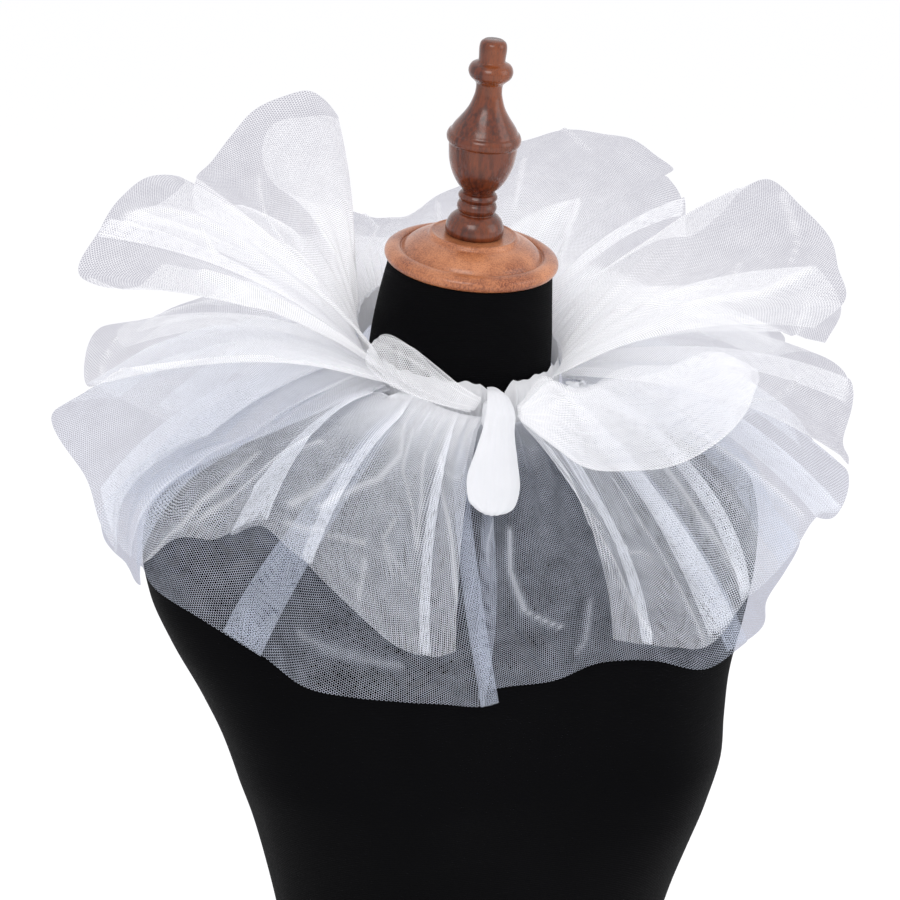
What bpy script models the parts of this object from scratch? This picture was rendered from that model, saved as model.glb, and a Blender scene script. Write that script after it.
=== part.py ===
"""Tulle ruff collar, resting on a limbless dress form with a turned-wood neck cap and finial.

Sizes in the tables are millimetres and degrees. The form faces -Y, +Z is up, and the origin is the
centre of the form's flat underside. Angles round the neck run from 0 at the front, through 90 at
the form's right (-X) and 180 at the back, to 360.
"""

import math

import bpy
import numpy as np

MM = 0.001

# ---------------------------------------------------------------- dress form
# One row for each level of the torso. The outline at a level is a rounded oval.
TORSO_COLUMNS = ("height", "half_width", "front", "back", "centre_y", "power")
TORSO = (
    (0, 160, 102, 112, -12, 2.2),
    (40, 166, 106, 116, -12, 2.2),
    (95, 158, 102, 110, -14, 2.2),
    (160, 134, 92, 94, -18, 2.2),
    (225, 118, 84, 78, -22, 2.1),
    (278, 128.5, 88, 83, -28, 2.2),
    (315, 138, 95, 90, -33, 2.25),
    (345, 147, 100, 97, -37, 2.3),
    (370, 156, 104, 103, -38, 2.3),
    (395, 163, 105, 107, -31, 2.3),
    (420, 173, 102, 111, -22, 2.3),
    (455, 191, 96, 112, -14, 2.25),
    (485, 203, 88, 108, -8, 2.2),
    (510, 207, 80, 100, -5, 2.2),
    (530, 205, 73, 92, -3, 2.2),
    (547, 194, 68, 84, -2, 2.1),
    (561, 172, 65, 78, -1, 2.0),
    (574, 137, 62, 72, 0, 2.0),
    (586, 99, 59.5, 66, 0, 2.0),
    (597, 68, 58.5, 62, 0, 2.0),
)
BUST = {"side": 90, "height": 368, "out": 18, "wide": 46, "tall": 68}

# The neck leans forward, and its rings turn with it.
NECK_COLUMNS = ("height", "centre_y", "tilt", "radius")
NECK = ((606, 0, 2, 59.6), (618, -2, 4, 58.4), (640, -7, 8, 57), (662, -13.5, 12, 54.5), (685.2, -22.2, 14.7, 51.2))
NECK_TILT = 14.7
CAP_BASE = (0.0, -21.6, 683.0)

# Turned profiles: distance along the tilted axis from the cap's underside, and radius.
CAP_PROFILE = (
    (2.7, 51.4), (3.8, 53.2), (6.4, 54.4), (9.2, 53.6), (11.2, 50.8), (12.0, 47.8), (11.5, 45.4), (10.0, 44.4), (10.8, 43.2),
    (13.4, 41.2), (16.2, 37.6), (18.6, 32.8), (20.0, 28.8), (21.8, 27.8), (22.8, 26.4), (22.3, 25.0), (22.2, 24.4),
)
FINIAL_PROFILE = (
    (22.6, 17.6), (24.6, 18.2), (28.5, 17.8), (32.5, 16), (35.6, 12.8), (36.6, 11.0), (38.2, 11.9), (40.6, 12.4), (43, 11.6),
    (44, 10.7), (45.4, 11.7), (47.2, 12.2), (49.2, 11.0), (50.5, 9.7), (55.5, 14), (62, 17.6), (69.5, 20), (77.5, 21),
    (81, 21.2), (82.4, 22.5), (85.2, 23), (87.8, 22.1), (88.8, 20.8), (92, 19.2), (98.5, 14.5), (104, 11.2), (109.5, 9.2),
    (114, 8.2), (119, 8.3), (121.4, 10.2), (124, 12.8), (127.5, 13.7), (131, 12.3), (133, 8.8), (134.6, 8.2), (141.6, 8.5),
    (145, 7.8), (146.6, 6.0),
)

# ---------------------------------------------------------------- neckband
BAND = {"radius": 64.0, "centre_y": -2.0, "height": 628.0, "slope": 0.46, "wall": 1.6, "width": 20.0, "gap": 5.0}

# ---------------------------------------------------------------- frills
# A row for each fold: where its foot is on the neckband, the way it points, how far its free edge
# reaches, and how high it arches on the way.
FRILL_COLUMNS = ("foot", "azimuth", "elevation", "reach", "bow")
FRILL_TOP = (
    (66, 98, 40, 153, 8), (74, 110, 45, 155, 10), (82, 124, 49, 151, 10), (88, 135, 54, 154, 10),
    (94, 146, 60, 159, 10), (100, 156, 67, 156, 10), (105, 163, 72, 151, 10), (109, 169, 76, 140, 10),
    (112, 174, 80, 126, 10), (115, 177, 74, 127, 10), (118, 176, 59, 138, 10), (121, 173, 50, 149, 10),
    (124, 170, 44, 154, 10), (127, 169, 38, 153, 10), (130, 171, 30, 151, 10), (134, 175, 24, 145, 10),
    (139, 180, 22, 136, 10), (145, 186, 20, 125, 10), (151, 192, 21, 104, 10), (159, 198, 16, 112, 12),
    (167, 202, 10, 140, 14), (176, 206, 14, 151, 14), (186, 210, 16, 165, 12), (197, 215, 24, 170, 12),
    (208, 221, 27, 185, 12), (219, 228, 27, 195, 12), (228, 234, 27, 192, 12), (235, 239, 26, 185, 12),
    (239, 242, 24, 183, 12), (241.5, 244, 26, 164, 10), (244, 246, 27, 158, 12), (248, 249, 24, 154, 12),
    (253, 251, 21, 143, 14), (259, 253, 19, 133, 14), (267, 258, 25, 147, 12), (277, 266, 33, 162, 12),
    (286, 275, 36, 173, 12), (296, 287, 32, 177, 12), (305, 298, 26, 185, 12), (312, 307, 22, 188, 14),
    (318, 314, 17, 194, 14), (324, 320, 14, 181, 14),
)
FRILL_UPPER = (
    (62, 68, 25, 196, 12), (66, 77, 19, 190, 12), (69, 86, 19, 206, 12), (73, 94, 26, 195, 12),
    (78, 103, 34, 184, 12), (84, 114, 39, 172, 12), (89, 124, 42, 154, 12), (92, 129, 38, 152, 12),
    (95, 131, 31, 158, 12), (98, 132, 26, 171, 12), (101, 134, 22, 176, 12), (104, 140, 21, 173, 12),
    (108, 150, 23, 158, 12), (113, 160, 26, 148, 12), (120, 169, 23, 140, 12), (128, 178, 16, 132, 12),
    (137, 187, 12, 135, 12), (147, 194, 9, 145, 12), (158, 201, 4, 164, 14), (172, 207, 0, 196, 16),
    (186, 213, -2, 214, 14), (196, 219, 2, 212, 14), (203, 224, 9, 231, 12), (208, 226, 0, 169, 14),
    (216, 231, -6, 171, 16), (228, 238, -4, 173, 16), (240, 246, -5, 171, 14), (252, 254, -1, 162, 14),
    (263, 263, 4, 158, 12), (274, 272, 10, 166, 12), (283, 281, 16, 173, 12), (291, 291, 11, 179, 12),
    (301, 304, 7, 166, 14),
)
FRILL_MIDDLE = (
    (50, 68, 9, 205, 14), (54, 76, 8, 201, 14), (58, 84, 4, 203, 14), (63, 92, 8, 192, 14), (69, 101, 11, 175, 16),
    (77, 111, 11, 151, 16), (84, 119, 7, 153, 14), (90, 128, 2, 163, 14), (96, 137, -3, 169, 14),
    (104, 147, 0, 162, 16), (115, 156, 1, 159, 16), (128, 168, -3, 167, 16), (141, 179, -2, 160, 16),
    (154, 190, -8, 166, 16), (167, 200, -9, 172, 16), (180, 210, -9, 176, 16), (193, 219, -9, 182, 16),
    (206, 227, -8, 192, 16), (219, 235, -9, 189, 16), (232, 243, -8, 194, 16), (244, 252, -7, 203, 16),
    (255, 261, -7, 198, 16), (263, 267, -9, 161, 14), (270, 273, -5, 176, 16), (277, 279, -5, 190, 16),
    (285, 286, -8, 191, 16), (294, 296, -14, 183, 16), (304, 306, -15, 188, 16),
)
FRILL_LOWER = (
    (10, 34, -60, 150, 18), (18, 39, -60, 155, 18), (26, 45, -57, 153, 18), (34, 50, -55, 145, 18),
    (43, 56, -47, 136, 18), (52, 63, -40, 130, 18), (60, 68, -33, 130, 18), (68, 73, -34, 150, 18),
    (76, 81, -35, 157, 18),
    (80, 84, -36.3, 178, 18), (85, 89, -36.0, 194, 18), (90, 96, -31.0, 192, 18), (95, 103, -23.2, 186, 18), (103, 113, -13, 198, 18),
    (113, 125, -14, 182, 18), (124, 138, -19, 188, 18), (136, 152, -27, 188, 18), (148, 165, -20, 185, 18),
    (160, 178, -28, 185, 18), (172, 191, -20, 185, 18), (184, 204, -27, 185, 18), (196, 217, -18, 185, 18),
    (208, 230, -26, 185, 18), (220, 243, -19, 188, 18), (232, 256, -27, 190, 18), (243, 268, -21, 200, 18),
    (253, 279, -24, 210, 18), (263, 287, -24, 216, 18), (273, 292, -30, 212, 18), (283, 297, -31, 190, 18),
    (293, 302, -37, 184, 18), (303, 306, -46, 180, 18), (314, 313, -56, 184, 18), (325, 319, -59, 172, 18),
    (335, 322, -60, 163, 18), (344, 323, -61, 156, 18), (352, 325, -61, 151, 18),
)
FRILL_UNDER = (
    (8, 14, -68.5, 170, 14), (14, 21, -68, 175, 14), (22, 32, -66, 176, 14), (31, 41, -63.5, 179, 14),
    (40, 51, -60, 183, 14), (49, 60, -57, 186, 14), (58, 67, -52, 181, 14), (67, 74, -46, 182, 14),
    (76, 81, -42, 184, 14), (86, 91, -39, 187, 14), (96, 103, -34, 193, 14), (105, 114, -31, 187, 14),
    (116, 126, -36, 188, 14), (128, 139, -43, 185, 14), (140, 152, -37, 185, 14), (152, 165, -44, 185, 14),
    (164, 178, -37, 185, 14), (176, 191, -44, 185, 14), (188, 204, -38, 185, 14), (200, 217, -44, 185, 14),
    (212, 230, -37, 185, 14), (224, 243, -43, 188, 14), (236, 256, -37, 192, 14), (247, 268, -38, 200, 14),
    (257, 278, -34, 210, 14), (266, 286, -38, 208, 14), (275, 291, -43, 202, 14), (284, 296, -48, 198, 14),
    (293, 301, -50, 201, 14), (303, 308, -54, 196, 14), (314, 315, -58.5, 191, 14), (325, 325, -62, 170, 14),
    (334, 333, -66, 160, 14), (341, 343, -68.3, 157, 14), (349, 359, -69.7, 161, 14), (357, 378, -69.4, 161, 14),
)
FREE = (0, 0.22, 0.48, 0.74, 1.0)
RESTING = (0, 0.15, 0.32, 0.5, 0.67, 0.84, 1.0)
FRILLS = {
    "frill_top": {"rows": FRILL_TOP, "lift": 10.0, "clear": 8.0, "across": FREE},
    "frill_upper": {"rows": FRILL_UPPER, "lift": 6.0, "clear": 8.0, "across": FREE},
    "frill_middle": {"rows": FRILL_MIDDLE, "lift": 2.0, "clear": 8.0, "across": FREE},
    "frill_lower": {"rows": FRILL_LOWER, "lift": -3.0, "clear": 14.0, "across": RESTING},
    "frill_under": {"rows": FRILL_UNDER, "lift": -8.0, "clear": 7.0, "across": RESTING},
}
CLOTH_WALL = 1.0
FOOT_OUT = 1.6

# ---------------------------------------------------------------- ties
# The path of each loop, out from the knot and back: place, and the width of the ribbon there.
LOOP_COLUMNS = ("x", "y", "z", "width")
LEFT_LOOP = (
    (-19, -80, 606, 9), (-34, -79, 612, 15), (-50, -76, 621, 22), (-64, -69, 630, 27), (-74, -59, 637, 27),
    (-77, -50, 640, 24), (-70, -53, 638, 25), (-60, -62, 629, 25), (-48, -69, 619, 20), (-32, -73, 610, 13),
    (-20, -75, 604, 8),
)
DROP_LOOP = (
    (-6, -74, 614.5, 12), (-7, -84, 612, 18), (-8, -91, 603, 22), (-10, -92.5, 592, 23), (-14, -98.5, 578, 29),
    (-19, -106, 563, 35), (-23, -112, 551, 30), (-25, -112.5, 545, 15), (-25, -107, 549, 24), (-20, -100, 562, 28),
    (-14, -92.5, 576, 21), (-10, -88, 586, 12),
)
# The big soft loop at the wearer's left: its lower folded edge, how high it stands there, and how thick it is.
SIDE_LOOP_COLUMNS = ("x", "y", "z", "rise", "depth")
SIDE_LOOP = (
    (5, -90, 596, 8, 5), (20, -104, 582, 26, 8), (35, -121, 570, 46, 10), (58, -130, 568, 60, 12),
    (91, -128, 569, 68, 13), (121, -126, 581, 62, 12), (141, -123, 597, 42, 10), (150, -120, 613, 14, 6),
)
SIDE_LOOP_LEAN = 0.36
KNOT = {"centre": (-7.0, -79.0, 599.0), "size": (19.0, 13.0, 20.0)}


def hermite(table, at):
    """Reads every other column of a table at places along its first, with no overshoot between rows."""
    rows = np.array(table, float)
    x, y = rows[:, 0], rows[:, 1:]
    step = np.diff(x)[:, None]
    rise = np.diff(y, axis=0) / step
    slope = np.zeros_like(y)
    both = rise[:-1] + rise[1:]
    slope[1:-1] = np.where(rise[:-1] * rise[1:] > 0, 2 * rise[:-1] * rise[1:] / np.where(both == 0, 1, both), 0)
    slope[0], slope[-1] = rise[0], rise[-1]
    at = np.atleast_1d(np.asarray(at, float))
    i = np.clip(np.searchsorted(x, at) - 1, 0, len(x) - 2)
    h = (x[i + 1] - x[i])[:, None]
    u = ((at - x[i]) / (x[i + 1] - x[i]))[:, None]
    return (
        (2 * u**3 - 3 * u**2 + 1) * y[i] + (u**3 - 2 * u**2 + u) * h * slope[i]
        + (3 * u**2 - 2 * u**3) * y[i + 1] + (u**3 - u**2) * h * slope[i + 1]
    )


def spline(rows, at):
    """A smooth curve through the rows of a table; at runs from 0 at the first row to 1 at the last."""
    t = np.array(rows, float)
    n = len(t)
    t = np.vstack([2 * t[0] - t[1], t, 2 * t[-1] - t[-2]])
    x = np.asarray(at, float) * (n - 1)
    i = np.clip(x.astype(int), 0, n - 2)
    u = (x - i)[..., None]
    a, b, c, d = t[i], t[i + 1], t[i + 2], t[i + 3]
    return 0.5 * (2 * b + (c - a) * u + (2 * a - 5 * b + 4 * c - d) * u**2 + (3 * b - a - 3 * c + d) * u**3)


def bust_out(x, z):
    return sum(
        BUST["out"] * np.exp(-(((x - side * BUST["side"]) / BUST["wide"]) ** 2) - ((z - BUST["height"]) / BUST["tall"]) ** 2)
        for side in (-1, 1)
    )


def torso_ring(height, angles):
    half_width, front, back, centre_y, power = hermite(TORSO, height)[0]
    s, c = np.sin(angles), np.cos(angles)
    x = -half_width * np.sign(s) * np.abs(s) ** (2 / power)
    y = -np.where(c > 0, front, back) * np.sign(c) * np.abs(c) ** (2 / power)
    y = y - np.where(c > 0, bust_out(x, height), 0)
    return np.stack([x, y + centre_y, np.full_like(x, height)], -1)


def neck_ring(row, angles):
    height, centre_y, tilt, radius = row
    tilt = math.radians(tilt)
    front = np.array([0, -math.cos(tilt), -math.sin(tilt)])
    return np.array([0, centre_y, height]) + radius * (
        np.sin(angles)[:, None] * np.array([-1.0, 0, 0]) + np.cos(angles)[:, None] * front
    )


def depth_in_torso(points, clear):
    """1 on the torso's surface grown by clear, less inside it, more outside."""
    level = np.clip(points[:, 2] - 0.7 * clear, 0, TORSO[-1][0])
    half_width, front, back, centre_y, power = hermite(TORSO, level).T
    y = points[:, 1] - centre_y
    depth = np.where(y < 0, front + bust_out(points[:, 0], level), back)
    return ((np.abs(points[:, 0]) / (half_width + clear)) ** power + (np.abs(y) / (depth + clear)) ** power) ** (1 / power)


def settle(points, clear, steps=10):
    """Moves each point that lies inside the torso, grown by clear, square out to its surface."""
    q = np.array(points, float)
    shape = q.shape
    q = q.reshape(-1, 3)
    for _ in range(steps):
        here = depth_in_torso(q, clear)
        inside = (here < 1) & (q[:, 2] < TORSO[-1][0] + clear)
        slope = np.stack(
            [(depth_in_torso(q + e, clear) - depth_in_torso(q - e, clear)) / 2 for e in np.eye(3)], -1
        )
        size = np.maximum((slope**2).sum(axis=1), 1e-6)
        q += np.where(inside, np.minimum((1 - here) / size, 12 / np.sqrt(size)), 0)[:, None] * slope
    return q.reshape(shape)


def foot_point(angle, lift, out):
    r = BAND["radius"] + out
    return np.stack(
        [
            -r * np.sin(angle),
            BAND["centre_y"] - r * np.cos(angle),
            BAND["height"] - BAND["slope"] * BAND["radius"] * np.cos(angle) + lift,
        ],
        -1,
    )


def frill_grid(rows, lift, clear, along, across):
    """The middle surface of a frill, from its foot on the neckband to its free edge."""
    v = spline(rows, along)
    foot, azimuth, elevation = (np.radians(v[:, k])[:, None] for k in range(3))
    reach, bow = v[:, 3][:, None, None], v[:, 4][:, None, None]
    start = foot_point(foot[:, 0], lift, FOOT_OUT)[:, None, :]
    point = np.stack([-np.sin(azimuth) * np.cos(elevation), -np.cos(azimuth) * np.cos(elevation), np.sin(elevation)], -1)
    over = np.stack([np.sin(azimuth) * np.sin(elevation), np.cos(azimuth) * np.sin(elevation), np.cos(elevation)], -1)
    t = np.asarray(across)[None, :, None]
    grid = start + point * (reach * t) + over * (bow * 4 * t * (1 - t))
    return settle(grid, clear)


def normals_of(grid):
    du = np.gradient(grid, axis=0)
    dv = np.gradient(grid, axis=1)
    n = np.cross(du, dv)
    return n / np.maximum(np.linalg.norm(n, axis=-1, keepdims=True), 1e-9)


def material(name, colour, roughness):
    found = bpy.data.materials.get(name)
    if found:
        return found
    made = bpy.data.materials.new(name)
    made.use_nodes = True
    shader = made.node_tree.nodes["Principled BSDF"]
    shader.inputs["Base Color"].default_value = (*colour, 1)
    shader.inputs["Roughness"].default_value = roughness
    shader.inputs["Metallic"].default_value = 0.0
    return made


def put(name, points, faces, finish, smooth=True):
    mesh = bpy.data.meshes.new(name)
    mesh.from_pydata([tuple(float(v) * MM for v in p) for p in points], [], faces)
    mesh.validate()
    mesh.update()
    obj = bpy.data.objects.new(name, mesh)
    bpy.context.scene.collection.objects.link(obj)
    obj.data.materials.append(finish)
    if smooth:
        mesh.shade_smooth()
        mesh.set_sharp_from_angle(angle=math.radians(40))
    return obj


def wall(name, grid, thickness, finish):
    """A closed wall of even thickness on a grid of points."""
    rows, columns = grid.shape[:2]
    n = normals_of(grid) * thickness / 2
    points = np.concatenate([(grid + n).reshape(-1, 3), (grid - n).reshape(-1, 3)])
    back = rows * columns
    faces = []
    for i in range(rows - 1):
        for j in range(columns - 1):
            a, b, c, d = i * columns + j, (i + 1) * columns + j, (i + 1) * columns + j + 1, i * columns + j + 1
            faces += [(a, b, c), (a, c, d), (back + a, back + c, back + b), (back + a, back + d, back + c)]
    rim = [i * columns for i in range(rows)] + [(rows - 1) * columns + j for j in range(1, columns)]
    rim += [i * columns + columns - 1 for i in range(rows - 2, -1, -1)] + [j for j in range(columns - 2, 0, -1)]
    for a, b in zip(rim, rim[1:] + rim[:1]):
        faces += [(b, a, back + a), (b, back + a, back + b)]
    return put(name, points, faces, finish)


def stack(name, rings, finish):
    """A closed solid through rings of equal count, capped at both ends, lowest ring first."""
    count = len(rings[0])
    points = [p for ring in rings for p in ring]
    faces = [tuple(reversed(range(count)))]
    for k in range(len(rings) - 1):
        for i in range(count):
            j = (i + 1) % count
            faces.append((k * count + i, k * count + j, (k + 1) * count + j, (k + 1) * count + i))
    faces.append(tuple(range((len(rings) - 1) * count, len(rings) * count)))
    return put(name, points, faces, finish)


def build_form(cloth, wood_light, wood_dark):
    angles = -np.linspace(0, 2 * math.pi, 36, endpoint=False)
    levels = (0, 40, 95, 160, 225, 278, 315, 345, 370, 395, 425, 455, 485, 510, 530, 547, 561, 574, 586, 597)
    rings = [torso_ring(z, angles) for z in levels] + [neck_ring(row, angles) for row in NECK]
    stack("form_torso", rings, cloth)
    tilt = math.radians(NECK_TILT)
    axis = np.array([0, -math.sin(tilt), math.cos(tilt)])
    front = np.array([0, -math.cos(tilt), -math.sin(tilt)])
    for name, profile, count, finish in (
        ("form_cap", CAP_PROFILE, 32, wood_light),
        ("form_finial", FINIAL_PROFILE, 18, wood_dark),
    ):
        turn = -np.linspace(0, 2 * math.pi, count, endpoint=False)[:, None]
        rings = [
            np.array(CAP_BASE) + axis * h + r * (np.sin(turn) * np.array([-1.0, 0, 0]) + np.cos(turn) * front)
            for h, r in profile
        ]
        stack(name, rings, finish)


def build_band(ribbon):
    half_gap = BAND["gap"] / BAND["radius"]
    angles = np.linspace(half_gap, 2 * math.pi - half_gap, 40)
    heights = np.linspace(-0.5, 0.5, 3) * BAND["width"]
    grid = np.stack([foot_point(angles, h, -0.9) for h in heights], 1)
    wall("neckband", grid, BAND["wall"], ribbon)


def build_frills(net):
    for name, frill in FRILLS.items():
        rows = frill["rows"]
        along = np.linspace(0, 1, 2 * (len(rows) - 1) + 1)
        across = np.array(frill["across"])
        grid = frill_grid(rows, frill["lift"], frill["clear"], along, across)
        wall(name, grid, CLOTH_WALL, net)


def ribbon_grid(path, count):
    """A ribbon along a path; its width lies across the path and square to the loop's own plane."""
    v = spline(path, np.linspace(0, 1, count))
    p, width = v[:, :3], v[:, 3]
    middle = p - p.mean(axis=0)
    plane = np.linalg.svd(middle, full_matrices=False)[2][2]
    return np.stack([p + plane * (width * k)[:, None] for k in (-0.5, 0.0, 0.5)], 1)


def side_loop_grid(count=15):
    v = spline(SIDE_LOOP, np.linspace(0, 1, count))
    edge, rise, depth = v[:, :3], v[:, 3], v[:, 4]
    out = np.stack([edge[:, 0] * 0.25, np.full(count, -60.0), np.zeros(count)], -1)
    out /= np.linalg.norm(out, axis=-1, keepdims=True)
    lean = np.array([0, SIDE_LOOP_LEAN, 1.0]) / math.hypot(1.0, SIDE_LOOP_LEAN)
    rows = []
    for w in (-1.0, -0.6, -0.22, 0.22, 0.6, 1.0):
        bulge = math.copysign(math.sin(min(1.0, abs(w) * 1.25) * math.pi * 0.62), w)
        rows.append(edge + out * (depth * 0.5 * bulge)[:, None] + lean * (rise * abs(w) ** 1.15)[:, None])
    return np.stack(rows, 1)


def build_ties(ribbon, net):
    wall("tie_left_loop", ribbon_grid(LEFT_LOOP, 21), CLOTH_WALL, net)
    wall("tie_drop_loop", ribbon_grid(DROP_LOOP, 21), CLOTH_WALL, ribbon)
    wall("tie_side_loop", side_loop_grid(), CLOTH_WALL, net)
    turn = -np.linspace(0, 2 * math.pi, 14, endpoint=False)[:, None]
    centre, size = np.array(KNOT["centre"]), np.array(KNOT["size"]) / 2
    rings = []
    for k in np.linspace(-0.92, 0.92, 7):
        r = math.sqrt(1 - k * k) ** 0.8
        pinch = 1 - 0.12 * math.cos(k * math.pi)
        rings.append(
            centre + np.array([0, 0, size[2] * k])
            + r * pinch * (np.sin(turn) * np.array([-size[0], 0, 0]) + np.cos(turn) * np.array([0, -size[1], 0]))
        )
    stack("tie_knot", rings, ribbon)


def main():
    for obj in list(bpy.data.objects):
        bpy.data.objects.remove(obj, do_unlink=True)
    jersey = material("black jersey", (0.012, 0.012, 0.014), 0.85)
    light = material("cap wood", (0.52, 0.25, 0.12), 0.35)
    dark = material("finial wood", (0.25, 0.08, 0.035), 0.3)
    net = material("white tulle", (0.86, 0.87, 0.9), 0.8)
    ribbon = material("white ribbon", (0.88, 0.88, 0.9), 0.6)
    build_form(jersey, light, dark)
    build_band(ribbon)
    build_frills(net)
    build_ties(ribbon, net)


main()
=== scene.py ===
"""The looks of a white tulle ruff collar resting on a limbless black dress form.

Sizes in the tables are millimetres and degrees, as in the part's own source. The form faces -Y and +Z is
up. Angles round the neck run from 0 at the front, through 90 at the form's right (-X) and 180 at the
back, to 360.
"""

import math

import bpy
import numpy as np
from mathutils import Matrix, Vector


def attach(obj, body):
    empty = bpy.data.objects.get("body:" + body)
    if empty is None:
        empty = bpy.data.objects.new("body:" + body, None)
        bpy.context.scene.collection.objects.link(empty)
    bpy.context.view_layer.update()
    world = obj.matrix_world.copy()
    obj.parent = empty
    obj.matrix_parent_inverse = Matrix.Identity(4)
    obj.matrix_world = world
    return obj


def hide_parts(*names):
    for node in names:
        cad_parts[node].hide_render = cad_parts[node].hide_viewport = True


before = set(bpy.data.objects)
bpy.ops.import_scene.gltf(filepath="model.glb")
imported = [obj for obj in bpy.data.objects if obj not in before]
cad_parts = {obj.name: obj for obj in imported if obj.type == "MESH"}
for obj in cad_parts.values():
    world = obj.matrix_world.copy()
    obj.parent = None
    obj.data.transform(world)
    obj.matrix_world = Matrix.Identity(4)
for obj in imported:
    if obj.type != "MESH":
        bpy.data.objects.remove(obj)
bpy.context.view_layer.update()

MM = 0.001

# ---------------------------------------------------------------- dress form
# One row for each level of the torso. The outline at a level is a rounded oval.
TORSO_COLUMNS = ("height", "half_width", "front", "back", "centre_y", "power")
TORSO = (
    (0, 160, 102, 112, -12, 2.2),
    (40, 166, 106, 116, -12, 2.2),
    (95, 158, 102, 110, -14, 2.2),
    (160, 134, 92, 94, -18, 2.2),
    (225, 118, 84, 78, -22, 2.1),
    (278, 128.5, 88, 83, -28, 2.2),
    (315, 138, 95, 90, -33, 2.25),
    (345, 147, 100, 97, -37, 2.3),
    (370, 156, 104, 103, -38, 2.3),
    (395, 163, 105, 107, -31, 2.3),
    (420, 173, 102, 111, -22, 2.3),
    (455, 191, 96, 112, -14, 2.25),
    (485, 203, 88, 108, -8, 2.2),
    (510, 207, 80, 100, -5, 2.2),
    (530, 205, 73, 92, -3, 2.2),
    (547, 194, 68, 84, -2, 2.1),
    (561, 172, 65, 78, -1, 2.0),
    (574, 137, 62, 72, 0, 2.0),
    (586, 99, 59.5, 66, 0, 2.0),
    (597, 68, 58.5, 62, 0, 2.0),
)
BUST = {"side": 90, "height": 368, "out": 18, "wide": 46, "tall": 68}

# The neck leans forward, and its rings turn with it.
NECK_COLUMNS = ("height", "centre_y", "tilt", "radius")
NECK = ((606, 0, 2, 59.6), (618, -2, 4, 58.4), (640, -7, 8, 57), (662, -13.5, 12, 54.5), (685.2, -22.2, 14.7, 51.2))
NECK_TILT = 14.7
CAP_BASE = (0.0, -21.6, 683.0)

# Turned profiles: distance along the tilted axis from the cap's underside, and radius.
CAP_PROFILE = (
    (2.7, 51.4), (3.8, 53.2), (6.4, 54.4), (9.2, 53.6), (11.2, 50.8), (12.0, 47.8), (11.5, 45.4), (10.0, 44.4), (10.8, 43.2),
    (13.4, 41.2), (16.2, 37.6), (18.6, 32.8), (20.0, 28.8), (21.8, 27.8), (22.8, 26.4), (22.3, 25.0), (22.2, 24.4),
)
FINIAL_PROFILE = (
    (22.6, 17.6), (24.6, 18.2), (28.5, 17.8), (32.5, 16), (35.6, 12.8), (36.6, 11.0), (38.2, 11.9), (40.6, 12.4), (43, 11.6),
    (44, 10.7), (45.4, 11.7), (47.2, 12.2), (49.2, 11.0), (50.5, 9.7), (55.5, 14), (62, 17.6), (69.5, 20), (77.5, 21),
    (81, 21.2), (82.4, 22.5), (85.2, 23), (87.8, 22.1), (88.8, 20.8), (92, 19.2), (98.5, 14.5), (104, 11.2), (109.5, 9.2),
    (114, 8.2), (119, 8.3), (121.4, 10.2), (124, 12.8), (127.5, 13.7), (131, 12.3), (133, 8.8), (134.6, 8.2), (141.6, 8.5),
    (145, 7.8), (146.6, 6.0),
)

# ---------------------------------------------------------------- neckband
BAND = {"radius": 64.0, "centre_y": -2.0, "height": 628.0, "slope": 0.46, "wall": 1.6, "width": 20.0, "gap": 5.0}

# ---------------------------------------------------------------- frills
# A row for each fold: where its foot is on the neckband, the way it points, how far its free edge
# reaches, and how high it arches on the way.
FRILL_COLUMNS = ("foot", "azimuth", "elevation", "reach", "bow")
FRILL_TOP = (
    (66, 98, 40, 153, 8), (74, 110, 45, 155, 10), (82, 124, 49, 151, 10), (88, 135, 54, 154, 10),
    (94, 146, 60, 159, 10), (100, 156, 67, 156, 10), (105, 163, 72, 151, 10), (109, 169, 76, 140, 10),
    (112, 174, 80, 126, 10), (115, 177, 74, 127, 10), (118, 176, 59, 138, 10), (121, 173, 50, 149, 10),
    (124, 170, 44, 154, 10), (127, 169, 38, 153, 10), (130, 171, 30, 151, 10), (134, 175, 24, 145, 10),
    (139, 180, 22, 136, 10), (145, 186, 20, 125, 10), (151, 192, 21, 104, 10), (159, 198, 16, 112, 12),
    (167, 202, 10, 140, 14), (176, 206, 14, 151, 14), (186, 210, 16, 165, 12), (197, 215, 24, 170, 12),
    (208, 221, 27, 185, 12), (219, 228, 27, 195, 12), (228, 234, 27, 192, 12), (235, 239, 26, 185, 12),
    (239, 242, 24, 183, 12), (241.5, 244, 26, 164, 10), (244, 246, 27, 158, 12), (248, 249, 24, 154, 12),
    (253, 251, 21, 143, 14), (259, 253, 19, 133, 14), (267, 258, 25, 147, 12), (277, 266, 33, 162, 12),
    (286, 275, 36, 173, 12), (296, 287, 32, 177, 12), (305, 298, 26, 185, 12), (312, 307, 22, 188, 14),
    (318, 314, 17, 194, 14), (324, 320, 14, 181, 14),
)
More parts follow.
